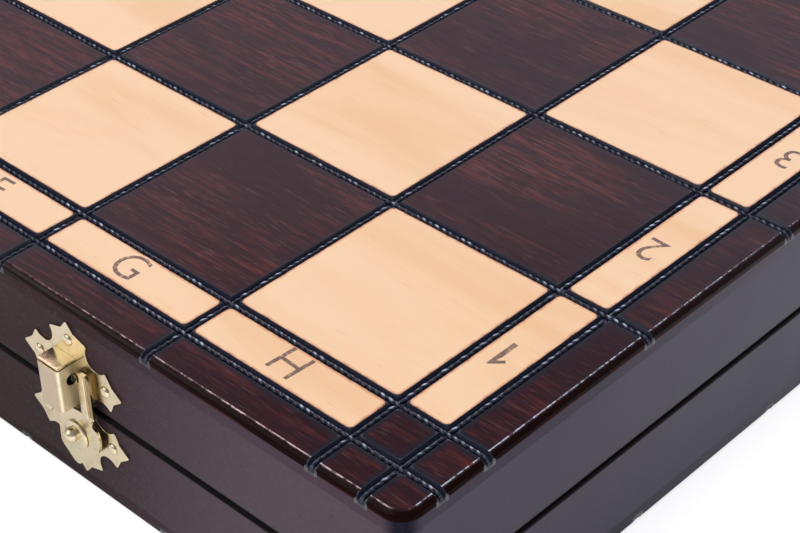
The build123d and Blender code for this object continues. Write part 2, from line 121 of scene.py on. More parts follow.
# Painted dark reflection down the upright front-right corner.
WALL_CORNER_REFLECTION = (0.022, 0.022, 0.038)
INK = (0.17, 0.10, 0.075)
BRASS = (0.74, 0.64, 0.44)
BRASS_DULL = (0.60, 0.50, 0.31)
# The next four are painted shade: inside the keeper, on its front, on the hook's low strip beside the arm's ridge, and
# on the rims at the seam (the last also gives dark specks on the walls).
KEEPER_INSIDE_SHADE = (0.012, 0.008, 0.005)
KEEPER_FRONT_SHADE = (0.50, 0.38, 0.29)
ARM_STRIP_SHADE = (0.20, 0.12, 0.055)
SEAM_SHADE_AND_SPECKS = (0.004, 0.002, 0.003)
FELT = (0.018, 0.075, 0.030)
FELT_LIGHT = (0.035, 0.115, 0.050)


class Shader:
    """A material and short calls for its nodes. A value is a number, a colour or a socket."""

    def __init__(self, name):
        self.material = bpy.data.materials.new(name)
        self.material.use_nodes = True
        self.tree = self.material.node_tree
        self.surface = self.tree.nodes["Principled BSDF"]

    def put(self, socket, value):
        if isinstance(value, bpy.types.NodeSocket):
            self.tree.links.new(value, socket)
        elif isinstance(value, tuple) and len(value) == 3 and len(socket.default_value) == 4:
            socket.default_value = (*value, 1.0)
        else:
            socket.default_value = value

    def finish(self, **values):
        for name, value in values.items():
            self.put(self.surface.inputs[name.replace("_", " ")], value)
        return self.material

    def math(self, operation, *values, clamp=False):
        node = self.tree.nodes.new("ShaderNodeMath")
        node.operation = operation
        node.use_clamp = clamp
        for socket, value in zip(node.inputs, values):
            self.put(socket, value)
        return node.outputs[0]

    def ramp(self, value, low, high, to_low=0.0, to_high=1.0):
        """A smooth step from to_low to to_high while value goes from low to high."""
        node = self.tree.nodes.new("ShaderNodeMapRange")
        node.interpolation_type = "SMOOTHSTEP"
        for name, number in (("From Min", low), ("From Max", high), ("To Min", to_low), ("To Max", to_high)):
            self.put(node.inputs[name], number)
        self.put(node.inputs["Value"], value)
        return node.outputs[0]

    def mix(self, factor, first, second):
        node = self.tree.nodes.new("ShaderNodeMix")
        node.data_type = "RGBA"
        self.put(node.inputs[0], factor)
        self.put(node.inputs[6], first)
        self.put(node.inputs[7], second)
        return node.outputs[2]

    def position(self, scale=(1, 1, 1), shift=(0, 0, 0)):
        """Object coordinates, which are the row frame at rest."""
        place = self.tree.nodes.new("ShaderNodeTexCoord").outputs["Object"]
        node = self.tree.nodes.new("ShaderNodeMapping")
        self.put(node.inputs["Vector"], place)
        node.inputs["Scale"].default_value = scale
        node.inputs["Location"].default_value = shift
        return node.outputs[0]

    def axes(self):
        node = self.tree.nodes.new("ShaderNodeSeparateXYZ")
        self.put(node.inputs[0], self.tree.nodes.new("ShaderNodeTexCoord").outputs["Object"])
        return node.outputs

    def noise(self, scale, detail=3.0, roughness=0.5, distortion=0.0, shift=(0, 0, 0)):
        """Noise whose features are about 1 / scale metres along each axis."""
        node = self.tree.nodes.new("ShaderNodeTexNoise")
        self.put(node.inputs["Vector"], self.position(scale, shift))
        node.inputs["Scale"].default_value = 1.0
        node.inputs["Detail"].default_value = detail
        node.inputs["Roughness"].default_value = roughness
        node.inputs["Distortion"].default_value = distortion
        return node.outputs[0]

    def bump(self, height, distance, normal=None):
        node = self.tree.nodes.new("ShaderNodeBump")
        node.inputs["Distance"].default_value = distance
        self.put(node.inputs["Height"], height)
        if normal is not None:
            self.put(node.inputs["Normal"], normal)
        return node.outputs[0]


# --- Wood -----------------------------------------------------------------------------------------
def stained(shader, dark, red, strength=1.0):
    """Stained wood with streaks and short pale fibres along X."""
    streaks = shader.noise((70, 900, 900), 5.0, 0.72)
    patches = shader.noise((14, 60, 60), 3.0, 0.6, 0.6, (3.1, 0.4, 0.0))
    red_share = shader.math("MULTIPLY", shader.ramp(streaks, 0.44, 0.66), shader.ramp(patches, 0.34, 0.64))
    colour = shader.mix(shader.math("MULTIPLY", red_share, strength), dark, red)
    fibres = shader.noise((230, 3400, 3400), 1.0, 0.5, 0.3)
    share = shader.math("MULTIPLY", shader.ramp(fibres, 0.58, 0.72), shader.ramp(patches, 0.3, 0.7, 0.12, 0.5))
    return shader.mix(share, colour, FIBRE)


def groove_distance(shader, x, y):
    """Distance to the middle of the nearest groove, rounded in the corners of the squares."""
    across = shader.math("ABSOLUTE", x)
    inside = shader.math("PINGPONG", shader.math("MINIMUM", across, FIELD_X), SQUARE / 2)
    outside = shader.math("MAXIMUM", shader.math("SUBTRACT", across, FIELD_X), 0.0)
    border = shader.math("ABSOLUTE", shader.math("SUBTRACT", across, FIELD_X + STRIP))
    to_x = shader.math("MINIMUM", shader.math("ADD", inside, outside), border)
    up = shader.math("SUBTRACT", y, FIELD_Y)
    inside = shader.math("PINGPONG", shader.math("MAXIMUM", up, 0.0), RANK / 2)
    below = shader.math("MAXIMUM", shader.math("MULTIPLY", up, -1.0), 0.0)
    border = shader.math("ABSOLUTE", shader.math("ADD", up, STRIP))
    to_y = shader.math("MINIMUM", shader.math("ADD", inside, below), border)
    corner = 0.0022
    in_x = shader.math("MAXIMUM", shader.math("SUBTRACT", corner, to_x), 0.0)
    in_y = shader.math("MAXIMUM", shader.math("SUBTRACT", corner, to_y), 0.0)
    square = shader.math("ADD", shader.math("MULTIPLY", in_x, in_x), shader.math("MULTIPLY", in_y, in_y))
    return shader.math("SUBTRACT", corner, shader.math("SQRT", square))


def light_share(shader, x, y, first):
    """1 on light squares and on the letter and number strips, 0 elsewhere. first is A1's parity."""
    across = shader.math("ABSOLUTE", x)
    up = shader.math("SUBTRACT", y, FIELD_Y)
    file_index = shader.math("FLOOR", shader.math("DIVIDE", shader.math("ADD", x, FIELD_X), SQUARE))
    rank_index = shader.math("FLOOR", shader.math("DIVIDE", up, RANK))
    total = shader.math("ADD", shader.math("ADD", file_index, rank_index), first)
    parity = shader.math("FLOORED_MODULO", total, 2.0)
    in_x = shader.math("LESS_THAN", across, FIELD_X)
    in_y = shader.math("GREATER_THAN", up, 0.0)
    field = shader.math("MULTIPLY", parity, shader.math("MULTIPLY", in_x, in_y))
    beside_x = shader.math("MULTIPLY", shader.math("SUBTRACT", 1.0, in_x),
                           shader.math("LESS_THAN", across, FIELD_X + STRIP))
    beside_y = shader.math("MULTIPLY", shader.math("SUBTRACT", 1.0, in_y),
                           shader.math("GREATER_THAN", up, -STRIP))
    strips = shader.math("ADD", shader.math("MULTIPLY", beside_x, in_y), shader.math("MULTIPLY", beside_y, in_x))
    return shader.math("ADD", field, strips, clamp=True)


def wall_colour(shader):
    """Dark lacquered wall with a faint grain along X, and painted light: lighter towards +X on the front wall, lighter
    on the right wall and towards the fold, with a painted dark reflection down the upright front-right corner.
    """
    cloud = shader.noise((7, 26, 26), 3.0, 0.6, 0.5)
    grain = shader.noise((20, 420, 420), 4.0, 0.6)
    colour = shader.mix(shader.ramp(cloud, 0.35, 0.7), WALL, WALL_RED)
    colour = shader.mix(shader.ramp(grain, 0.5, 0.75, 0.0, 0.35), colour, STAIN)
    x, y, z = shader.axes()
    # Painted light: the front wall is made lighter and greyer towards +X.
    colour = shader.mix(shader.ramp(x, 0.085, 0.155, 0.0, 0.95), colour, WALL_PAINTED_LIGHT)
    # Painted light: the right wall is made lighter than the front, and lighter again towards the fold.
    side = shader.mix(shader.ramp(y, -0.08, 0.06), WALL_RIGHT_LIT, WALL_RIGHT_FAR_LIT)
    colour = shader.mix(shader.ramp(x, HALF_WIDTH - 0.0012, HALF_WIDTH - 0.0004, 0.0, 0.95), colour, side)
    # Painted reflection: a dark bluish band down the upright front-right corner.
    corner = shader.math("MULTIPLY", shader.ramp(x, HALF_WIDTH - CORNER_R, HALF_WIDTH - 0.002),
                         shader.ramp(y, 0.002 - FOLD_Y, CORNER_R - FOLD_Y, 1.0, 0.0))
    colour = shader.mix(corner, colour, WALL_CORNER_REFLECTION)
    dust = shader.noise((1500, 2200, 2200), 3.0, 0.7)
    colour = shader.mix(shader.ramp(dust, 0.54, 0.74, 0.0, 0.30), colour, WALL_DUST)
    return shader.mix(shader.ramp(dust, 0.28, 0.44, 0.25, 0.0), colour, SEAM_SHADE_AND_SPECKS)


def board_material(name, face_z, inward, first):
    """Checkered board face. inward is the direction from the face into the board, first A1's parity."""
    shader = Shader(name)
    x, y, z = shader.axes()
    depth = shader.math("MULTIPLY", shader.math("SUBTRACT", z, face_z), inward)
    waver = shader.math("SUBTRACT", shader.noise((500, 500, 500), 3.0, 0.6), 0.5)
    distance = groove_distance(shader, x, y)
    rough_distance = shader.math("ADD", distance, shader.math("MULTIPLY", waver, 0.0009))
    figure = shader.noise((9, 55, 55), 5.0, 0.55, 0.9)
    pores = shader.noise((160, 1500, 1500), 3.0, 0.6)
    maple = shader.mix(shader.ramp(figure, 0.42, 0.72), MAPLE, MAPLE_DEEP)
    maple = shader.mix(shader.ramp(pores, 0.60, 0.80, 0.0, 0.22), maple, SCORCH)
    maple = shader.mix(shader.ramp(rough_distance, 0.0011, 0.0017, 0.85, 0.0), maple, SCORCH)
    maple = shader.mix(shader.ramp(rough_distance, 0.0009, 0.00122, 1.0, 0.0), maple, CHAR)
    dark = stained(shader, STAIN, STAIN_RED)
    across = shader.math("ABSOLUTE", x)
    field = shader.math("MULTIPLY", shader.math("LESS_THAN", across, FIELD_X),
                        shader.math("GREATER_THAN", y, FIELD_Y))
    band = shader.math("MULTIPLY_ADD", field, -0.5, 0.9)
    band = shader.math("MULTIPLY", band, shader.ramp(rough_distance, 0.0013, 0.0027, 1.0, 0.0))
    dark = shader.mix(band, dark, STAIN_BAND)
    light = light_share(shader, x, y, first)
    colour = shader.mix(light, dark, maple)
    colour = shader.mix(shader.ramp(depth, 0.00002, 0.00022), colour, ROUND_RED)
    line = shader.math("MULTIPLY", shader.ramp(depth, 0.00125, 0.0014), shader.ramp(depth, 0.0015, 0.0017, 1.0, 0.0))
    line = shader.math("MULTIPLY", line, shader.ramp(shader.noise((90, 90, 90), 2.0), 0.4, 0.6))
    colour = shader.mix(line, colour, ROUND_LINE)
    colour = shader.mix(shader.ramp(depth, 0.0015, 0.0017), colour, wall_colour(shader))
    widened = shader.math("SUBTRACT", distance, shader.ramp(depth, 0.0009, 0.0012, 0.0, 0.0003))
    groove = shader.math("MULTIPLY", shader.ramp(widened, 0.00106, 0.00116, 1.0, 0.0),
                         shader.ramp(depth, 0.0019, 0.0024, 1.0, 0.0))
    colour = shader.mix(groove, colour, LACQUER)
    gloss = shader.ramp(shader.noise((40, 300, 300), 3.0), 0.3, 0.7, 0.30, 0.42)
    roughness = shader.math("MULTIPLY_ADD", groove, -0.14, gloss)
    rounding = shader.math("MULTIPLY", shader.ramp(depth, 0.0, 0.00003), shader.ramp(depth, 0.0012, 0.0017, 1.0, 0.0))
    roughness = shader.math("MULTIPLY_ADD", rounding, -0.23, roughness, clamp=True)
    relief = shader.math("ADD", pores, shader.math("MULTIPLY", shader.noise((60, 700, 700), 4.0), 1.5))
    normal = shader.bump(relief, 0.00003)
    toward = shader.math("SUBTRACT", x, y)
    shine = shader.ramp(toward, 0.12, 0.25, 0.30, 0.05)
    shine = shader.math("MULTIPLY", shine, shader.ramp(depth, 0.0003, 0.0017, 1.0, 0.17))
    polished = shader.math("MULTIPLY", shader.ramp(depth, 0.00001, 0.00003), shader.ramp(depth, 0.0001, 0.0002, 1.0, 0.0))
    polished = shader.math("MULTIPLY", polished, shader.ramp(shader.noise((900, 900, 900), 2.0), 0.42, 0.58, 0.12, 0.85))
    shine = shader.math("MAXIMUM", shine, polished)
    shine = shader.math("MAXIMUM", shine, shader.math("MULTIPLY", groove, 0.5))
    return shader.finish(Base_Color=colour, Roughness=roughness, Normal=normal, Specular_IOR_Level=shine)


def seam_share(shader):
    """1 on the rounded rims at the seam, 0 elsewhere."""
    away = shader.math("ABSOLUTE", shader.math("SUBTRACT", shader.axes()[2], SEAM_Z))
    return shader.ramp(away, RIM_R - 0.0002, RIM_R + 0.00005, 1.0, 0.0)


def wall_material():
    shader = Shader("stained_wall")
    specks = shader.ramp(shader.noise((900, 900, 900), 2.0, 0.5), 0.80, 0.84, 0.0, 0.6)
    colour = shader.mix(specks, wall_colour(shader), FIBRE)
    # Painted shade: the rounded rims at the seam are made near black.
    colour = shader.mix(seam_share(shader), colour, SEAM_SHADE_AND_SPECKS)
    grain = shader.noise((25, 500, 500), 4.0, 0.6)
    roughness = shader.ramp(shader.noise((12, 60, 60), 3.0), 0.3, 0.7, 0.30, 0.40)
    normal = shader.bump(grain, 0.00003)
    return shader.finish(Base_Color=colour, Roughness=roughness, Normal=normal,
                         Specular_IOR_Level=0.05)


def rope_material():
    shader = Shader("groove_lacquer")
    highlight_patches = shader.ramp(shader.noise((700, 700, 700), 2.0), 0.30, 0.65, 0.35, 1.0)
    height = shader.math("ABSOLUTE", shader.math("SUBTRACT", shader.axes()[2], TOP_Z / 2))
    floor = TOP_Z / 2 - GROOVE_DEPTH
    # Painted highlight: the tops of the strands are made pale blue-white, in patches.
    crest = shader.math("MULTIPLY", highlight_patches, shader.ramp(height, floor + 0.89 * STRAND_HEIGHT, floor + 1.03 * STRAND_HEIGHT))
    colour = shader.mix(crest, LACQUER, CREST_HIGHLIGHT)
    roughness = shader.ramp(shader.noise((900, 900, 900), 2.0), 0.3, 0.7, 0.16, 0.34)
    return shader.finish(Base_Color=colour, Roughness=roughness)


def ink_material():
    """Stamped ink, thin where the stamp barely touched."""
    shader = Shader("stamped_ink")
    thin = shader.noise((1500, 1500, 1500), 3.0, 0.6)
    colour = shader.mix(shader.ramp(thin, 0.5, 0.72, 0.0, 0.75), INK, MAPLE_DEEP)
    return shader.finish(Base_Color=colour, Roughness=0.55)


def from_latch(shader, x, place):
    """X from a place on the nearer latch, measured from the latch's middle."""
    right = shader.math("GREATER_THAN", x, 0.0)
    middle = shader.math("MULTIPLY_ADD", right, 2 * LATCH_X, -LATCH_X)
    return shader.math("SUBTRACT", shader.math("SUBTRACT", x, middle), place)


def brass_colour(shader):
    """Brass with a dull film in places, painted shade on the keeper's front and deep painted shade inside the keeper.
    """
    film = shader.ramp(shader.noise((260, 260, 260), 4.0, 0.6), 0.45, 0.75)
    colour = shader.mix(film, BRASS, BRASS_DULL)
    x, y, z = shader.axes()
    out = shader.math("SUBTRACT", -FOLD_Y, y)
    # Painted shade: the keeper's front face is made darker and browner.
    colour = shader.mix(shader.ramp(out, KEEPER_FRONT - 0.0003, KEEPER_FRONT - 0.0001, 0.0, 0.6), colour, KEEPER_FRONT_SHADE)
    # Painted shade: the brass inside the keeper is made near black.
    half = (KEEPER_RIGHT - KEEPER_LEFT) / 2 - KEEPER_WALL
    beside = shader.math("ABSOLUTE", from_latch(shader, x, (KEEPER_LEFT + KEEPER_RIGHT) / 2))
    inside = shader.ramp(beside, half + 0.0001, half + 0.0002, 1.0, 0.0)
    inside = shader.math("MULTIPLY", inside, shader.math("LESS_THAN", out, KEEPER_FRONT - KEEPER_WALL + 0.0001))
    inside = shader.math("MULTIPLY", inside, shader.math("GREATER_THAN", z, KEEPER_LOW))
    inside = shader.math("MULTIPLY", inside, shader.math("LESS_THAN", z, KEEPER_TOP - KEEPER_WALL + 0.0001))
    return shader.mix(inside, colour, KEEPER_INSIDE_SHADE)


def finish_brass(shader, colour):
    """Sheet brass with tiny dents from the press and softly broken edges."""
    roughness = shader.ramp(shader.noise((500, 500, 500), 3.0), 0.3, 0.7, 0.16, 0.27)
    x, y, z = shader.axes()
    slotted = shader.ramp(shader.math("ABSOLUTE", from_latch(shader, x, KEEPER_RIGHT)), 0.00005, 0.0001, 1.0, 0.0)
    slotted = shader.math("MULTIPLY", slotted, shader.math("LESS_THAN", y, -FOLD_Y - PLATE_FRONT - 0.0001))
    slotted = shader.math("MULTIPLY", slotted, shader.math("GREATER_THAN", z, KEEPER_LOW - 0.0001))
    roughness = shader.math("MULTIPLY_ADD", slotted, 0.35, roughness)
    ball = shader.math("LESS_THAN", z, PIVOT_Z + 0.0016)
    ball = shader.math("MULTIPLY", ball, shader.ramp(y, -FOLD_Y - 0.0030, -FOLD_Y - 0.0026, 1.0, 0.0))
    roughness = shader.math("MULTIPLY_ADD", ball, 0.12, roughness)
    dents = shader.noise((300, 300, 300), 2.0, 0.5)
    edge = shader.tree.nodes.new("ShaderNodeBevel")
    edge.samples = 6
    edge.inputs["Radius"].default_value = 0.00016
    normal = shader.bump(dents, 0.00003, edge.outputs[0])
    return shader.finish(Base_Color=colour, Metallic=1.0, Roughness=roughness, Normal=normal)


def brass_material():
    shader = Shader("stamped_brass")
    return finish_brass(shader, brass_colour(shader))


def hook_material():
    """The same brass, with painted shade on the low strip beside the arm's ridge."""
    shader = Shader("hook_brass")
    x, _, z = shader.axes()
    strip = shader.ramp(from_latch(shader, x, RIVET_X), RIDGE[-1][0], RIDGE[-1][0] + 0.0002)
    strip = shader.math("MULTIPLY", strip, shader.ramp(z, PIVOT_Z + RIDGE_LOW, PIVOT_Z + RIDGE_LOW + 0.0006, 0.0, 0.75))
    return finish_brass(shader, shader.mix(strip, brass_colour(shader), ARM_STRIP_SHADE))


def felt_material():
    shader = Shader("felt")
    nap = shader.noise((3200, 3200, 3200), 4.0, 0.7)
    cloud = shader.noise((60, 60, 60), 3.0, 0.6)
    colour = shader.mix(shader.math("MULTIPLY", nap, shader.ramp(cloud, 0.3, 0.7)), FELT, FELT_LIGHT)
    normal = shader.bump(nap, 0.0004)
    return shader.finish(Base_Color=colour, Roughness=0.95, Sheen_Weight=0.4, Normal=normal)


wall = wall_material()
rope = rope_material()
ink = ink_material()
brass = brass_material()
hook_brass = hook_material()
felt = felt_material()
lid_board = board_material("board_lid", TOP_Z, -1.0, 0.0)
base_board = board_material("board_base", 0.0, 1.0, 1.0)


def paint(node, material):
    """Gives a solid of the frame its material."""
    slots = node.material_slots
    for entry in slots:
        entry.material = material
    if not slots:
        node.data.materials.append(material)


for name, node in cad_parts.items():
    if name.endswith("_panel"):
        paint(node, lid_board if name.startswith("lid") else base_board)
    elif name.endswith("_rail"):
        paint(node, wall)
    elif not name.endswith("_lining"):
        paint(node, hook_brass if name.startswith("latch_hook") else brass)


# --- Pieces ---------------------------------------------------------------------------------------
def piece(name, mesh, material, body):
    """A new object from a finished bmesh, riding on its body."""
    data = bpy.data.meshes.new(name)
    mesh.to_mesh(data)
    mesh.free()
    data.materials.append(material)
    made = bpy.data.objects.new(name, data)
    bpy.context.scene.collection.objects.link(made)
    for polygon in data.polygons:
        polygon.use_smooth = True
    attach(made, body)
    return made


# Twisted cord pressed into the grooves: a row of slanted strands
STRAND_PITCH = 0.0016
STRAND_LENGTH = 0.00108  # half of a strand
STRAND_WIDTH = 0.00042  # half of a strand
STRAND_SLANT = -14.0
STRAND_RINGS = ((1.0, 0.0), (0.93, 0.5), (0.62, 0.86))  # share of the plan size, share of the height
STRAND_SIDES = 8
RUN_OUT = ((16.0, 0.9, 0.8), (40.0, 0.45, 0.5))  # degrees down the edge, shares of the height and the length


def add_strand(mesh, placed):
    """One strand, a long low dome, with its foot on the groove's floor."""
    rings = []
    for size, height in STRAND_RINGS:
        ring = []
        for step in range(STRAND_SIDES):
            angle = math.tau * step / STRAND_SIDES
            point = Vector((STRAND_LENGTH * size * math.cos(angle), STRAND_WIDTH * size * math.sin(angle),
                            STRAND_HEIGHT * height))
            ring.append(mesh.verts.new(placed @ point))
        rings.append(ring)
    tip = mesh.verts.new(placed @ Vector((0, 0, STRAND_HEIGHT)))
    for lower, upper in zip(rings, rings[1:]):
        for step in range(STRAND_SIDES):
            after = (step + 1) % STRAND_SIDES
            mesh.faces.new((lower[step], lower[after], upper[after], upper[step]))
    for step in range(STRAND_SIDES):
        mesh.faces.new((rings[-1][step], rings[-1][(step + 1) % STRAND_SIDES], tip))
    mesh.faces.new(list(reversed(rings[0])))


def cord_relief(name, body, flip):
    """The cord pattern in all grooves of one half. flip turns the lid's frame into the base's."""
    floor = TOP_Z - GROOVE_DEPTH
    chance = random.Random(7)
    mesh = bmesh.new()
    lines_x = [file * SQUARE - FIELD_X for file in range(len(FILES) + 1)]
    lines_x += [-FIELD_X - STRIP, FIELD_X + STRIP]
    lines_y = [FIELD_Y + rank * RANK for rank in range(RANKS)] + [FIELD_Y - STRIP]
    slant = Matrix.Rotation(math.radians(STRAND_SLANT), 4, "Z")
    quarter = Matrix.Rotation(math.radians(90), 4, "Z")

    def line(start, end, fixed, along_y, crossings):
        count = int((end - start) / STRAND_PITCH)
        for index in range(count):
            place = start + (index + 0.5) * STRAND_PITCH + chance.uniform(-0.1, 0.1) * STRAND_PITCH
            if any(abs(place - crossing) < GROOVE_HALF for crossing in crossings):
                continue
            at = (fixed, place, floor) if along_y else (place, fixed, floor)
            turned = quarter @ slant if along_y else slant
            grow = Matrix.Scale(chance.uniform(0.85, 1.08), 4)
            add_strand(mesh, flip @ Matrix.Translation(at) @ turned @ grow)

    def turning(place, axis, direction, turned):
        """Strands on the curve by which a groove runs out over a rounded edge."""
        for angle, height, length in RUN_OUT:
            tilt = Matrix.Rotation(math.radians(angle * direction), 4, axis)
            low = Matrix.Diagonal((length, 0.9, height, 1.0))
            add_strand(mesh, flip @ Matrix.Translation(place) @ tilt @ Matrix.Translation((0, 0, EDGE_R)) @ turned @ low)

    deep = TOP_Z - GROOVE_DEPTH - EDGE_R
    for x in lines_x:
        line(-FOLD_Y + EDGE_R, FOLD_Y - EDGE_R, x, True, lines_y)
        turning((x, -FOLD_Y + EDGE_R, deep), "X", 1, quarter @ slant)
    for y in lines_y:
        line(-HALF_WIDTH + EDGE_R, HALF_WIDTH - EDGE_R, y, False, [])
        turning((HALF_WIDTH - EDGE_R, y, deep), "Y", 1, slant)
        turning((-HALF_WIDTH + EDGE_R, y, deep), "Y", -1, slant)
    return piece(name, mesh, rope, body)


same = Matrix.Identity(4)
turned_over = Matrix.Translation((0, 0, TOP_Z)) @ Matrix.Rotation(math.pi, 4, "Y")
cord_relief("lid_cord_relief", "lid", same)
cord_relief("base_cord_relief", "base", turned_over)

# Stamped letters and numbers
GLYPH_SIZE = 0.0098
GLYPH_THIN = -0.00006
FLAGGED_ONE = ((0.0003, 0.0037), (-0.0020, 0.0016), (-0.0015, 0.0010), (-0.0005, 0.0019),
               (-0.0005, -0.0035), (0.00055, -0.0035), (0.00055, 0.0034))
INK_LIFT = 0.00001
STAMP_DRIFT = 0.0012


def add_glyph(mesh, sign, place):
    """One stamped sign, laid flat at a place."""
    if sign == "1":
        mesh.faces.new([mesh.verts.new(place @ Vector((x, y, 0.0))) for x, y in FLAGGED_ONE])
        return
    curve = bpy.data.curves.new("sign", "FONT")
    curve.body = sign
    curve.size = GLYPH_SIZE
    curve.offset = GLYPH_THIN
    curve.align_x = "CENTER"
    curve.align_y = "CENTER"
    curve.resolution_u = 4
    lettered = bpy.data.objects.new("sign", curve)
    flat = bpy.data.meshes.new_from_object(lettered)
    flat.transform(place)
    mesh.from_mesh(flat)
    bpy.data.objects.remove(lettered)
    bpy.data.curves.remove(curve)
    bpy.data.meshes.remove(flat)


def stamps(name, body, z, half):
    """Letters on the front strip and numbers on both side strips, as the owner of that half reads them."""
    mesh = bmesh.new()
    chance = random.Random(11 + half)
    over = Matrix.Identity(4) if half > 0 else Matrix.Rotation(math.pi, 4, "Y")

    def put(sign, x, y, turn):
        drift = Matrix.Translation((chance.uniform(-1, 1) * STAMP_DRIFT, chance.uniform(-0.4, 0.4) * STAMP_DRIFT, 0))
        spin = Matrix.Rotation(math.radians(turn + chance.uniform(-4, 4)), 4, "Z")
        add_glyph(mesh, sign, Matrix.Translation((x, y, z)) @ over @ drift @ spin)

    for index, letter in enumerate(FILES):
        put(letter, (index + 0.5) * SQUARE - FIELD_X, FIELD_Y - STRIP / 2, 0)
    for index in range(RANKS):
        number = str(index + 1) if half > 0 else str(2 * RANKS - index)
        y = FIELD_Y + (index + 0.5) * RANK
        put(number, FIELD_X + STRIP / 2, y, 180 if half > 0 else 0)
        put(number, -FIELD_X - STRIP / 2, y, 0 if half > 0 else 180)
    return piece(name, mesh, ink, body)


stamps("lid_stamps", "lid", TOP_Z + INK_LIFT, 1)
stamps("base_stamps", "base", -INK_LIFT, -1)


# Felt linings with a soft upper edge
def lining(name, body, node):
    low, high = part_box(node)
    mesh = bmesh.new()
    steps_x, steps_y = 72, 36
    up = 1 if body == "base" else -1
    foot, face = (low.z, high.z) if body == "base" else (high.z, low.z)
    edge = 0.0006
    chance = random.Random(3)
    rows = []
    for j in range(steps_y + 1):
        row = []
        for i in range(steps_x + 1):
            x = low.x + (high.x - low.x) * i / steps_x
            y = low.y + (high.y - low.y) * j / steps_y
            rim = i in (0, steps_x) or j in (0, steps_y)
            z = face - up * (edge if rim else chance.uniform(0, 0.00008))
            row.append(mesh.verts.new((x, y, z)))
        rows.append(row)
    for lower, upper in zip(rows, rows[1:]):
        for i in range(steps_x):
            mesh.faces.new((lower[i], lower[i + 1], upper[i + 1], upper[i]))
    rim_edges = [e for e in mesh.edges if e.is_boundary]
    skirt = bmesh.ops.extrude_edge_only(mesh, edges=rim_edges)["geom"]
    for corner in (v for v in skirt if isinstance(v, bmesh.types.BMVert)):
        corner.co.z = foot
    bmesh.ops.recalc_face_normals(mesh, faces=mesh.faces)
    made = piece(name, mesh, felt, body)
    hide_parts(node)
    return made


lining("base_felt", "base", "base_lining")
lining("lid_felt", "lid", "lid_lining")


# --- Latch details ----------------------------------------------------------------------------------
SLOT_OUT, SLOT_Z = 0.00180, 0.0281  # middle of the slot in the right wall
SLOT_HALF_OUT, SLOT_HALF_Z = 0.00122, 0.00120
FLAP_IN = 0.0003  # the folded flap stands back from the front and the sides
CURVE = 6  # steps in a quarter turn


def wall_point(x, out, z):
    """A point by its distance out of the front wall."""
    return Vector((x, -FOLD_Y - out, z))


def prism(mesh, loops, shift):
    """A solid between a flat outline with holes and the same outline moved by a shift."""
    edges = []
    rings = []
    for loop in loops:
        ring = [mesh.verts.new(point) for point in loop]
        rings.append(ring)
        edges += [mesh.edges.new((ring[i - 1], ring[i])) for i in range(len(ring))]
    bmesh.ops.triangle_fill(mesh, use_beauty=True, edges=edges)
    front = [face for face in mesh.faces if all(corner in {v for ring in rings for v in ring} for corner in face.verts)]
    copy = bmesh.ops.duplicate(mesh, geom=front)
    moved = {old: new for old, new in copy["vert_map"].items() if isinstance(old, bmesh.types.BMVert)}
    for ring in rings:
        for old in ring:
            moved[old].co += shift
        for i in range(len(ring)):
            mesh.faces.new((ring[i - 1], ring[i], moved[ring[i]], moved[ring[i - 1]]))


def quarter_arc(middle, radius, start):
    """Points of a quarter turn in a plane, from an angle in degrees."""
    return [(middle[0] + radius * math.cos(math.radians(start + 90 * i / CURVE)),
             middle[1] + radius * math.sin(math.radians(start + 90 * i / CURVE))) for i in range(CURVE + 1)]


def keeper(side, sign):
    """The bent box: a wrapped sheet, a flap folded over its top, and a slotted right wall."""
    left, right = sign * LATCH_X + KEEPER_LEFT, sign * LATCH_X + KEEPER_RIGHT
    back, front = PLATE_FRONT, KEEPER_FRONT
    mesh = bmesh.new()
    inner = KEEPER_BEND - KEEPER_WALL
    bend_left, bend_right = left + KEEPER_BEND, right - KEEPER_BEND
    bend_out = front - KEEPER_BEND
    outline = [(left, back)] + quarter_arc((bend_left, bend_out), KEEPER_BEND, 90)[::-1]
    outline += quarter_arc((bend_right, bend_out), KEEPER_BEND, 0)[::-1]
    outline += quarter_arc((bend_right, bend_out), inner, 0) + quarter_arc((bend_left, bend_out), inner, 90)
    outline += [(left + KEEPER_WALL, back)]
    side_top = KEEPER_TOP - KEEPER_WALL - 0.0001
    prism(mesh, [[wall_point(x, out, KEEPER_LOW) for x, out in outline]], Vector((0, 0, side_top - KEEPER_LOW)))
    hole = [wall_point(right, SLOT_OUT + SLOT_HALF_OUT * math.cos(math.tau * i / 20),
                       SLOT_Z + SLOT_HALF_Z * math.sin(math.tau * i / 20)) for i in range(20)]
    slotted = [wall_point(right, out, z) for out, z in ((back, KEEPER_LOW), (bend_out, KEEPER_LOW),
                                                       (bend_out, side_top), (back, side_top))]
    prism(mesh, [slotted, hole], Vector((-KEEPER_WALL, 0, 0)))
    edge = front - FLAP_IN
    half = KEEPER_WALL / 2
    flap = [(back, KEEPER_TOP)] + quarter_arc((edge - half, KEEPER_TOP - half), half, 0)[::-1]
    flap += [(edge - half, KEEPER_TOP - KEEPER_WALL), (back, KEEPER_TOP - KEEPER_WALL)]
    prism(mesh, [[wall_point(left + FLAP_IN / 2, out, z) for out, z in flap]], Vector((right - left - FLAP_IN, 0, 0)))
    bmesh.ops.recalc_face_normals(mesh, faces=mesh.faces)
    made = piece(f"keeper_sheet_{side}", mesh, brass, "lid")
    made.data.set_sharp_from_angle(angle=math.radians(35))
    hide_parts(f"latch_keeper_{side}")


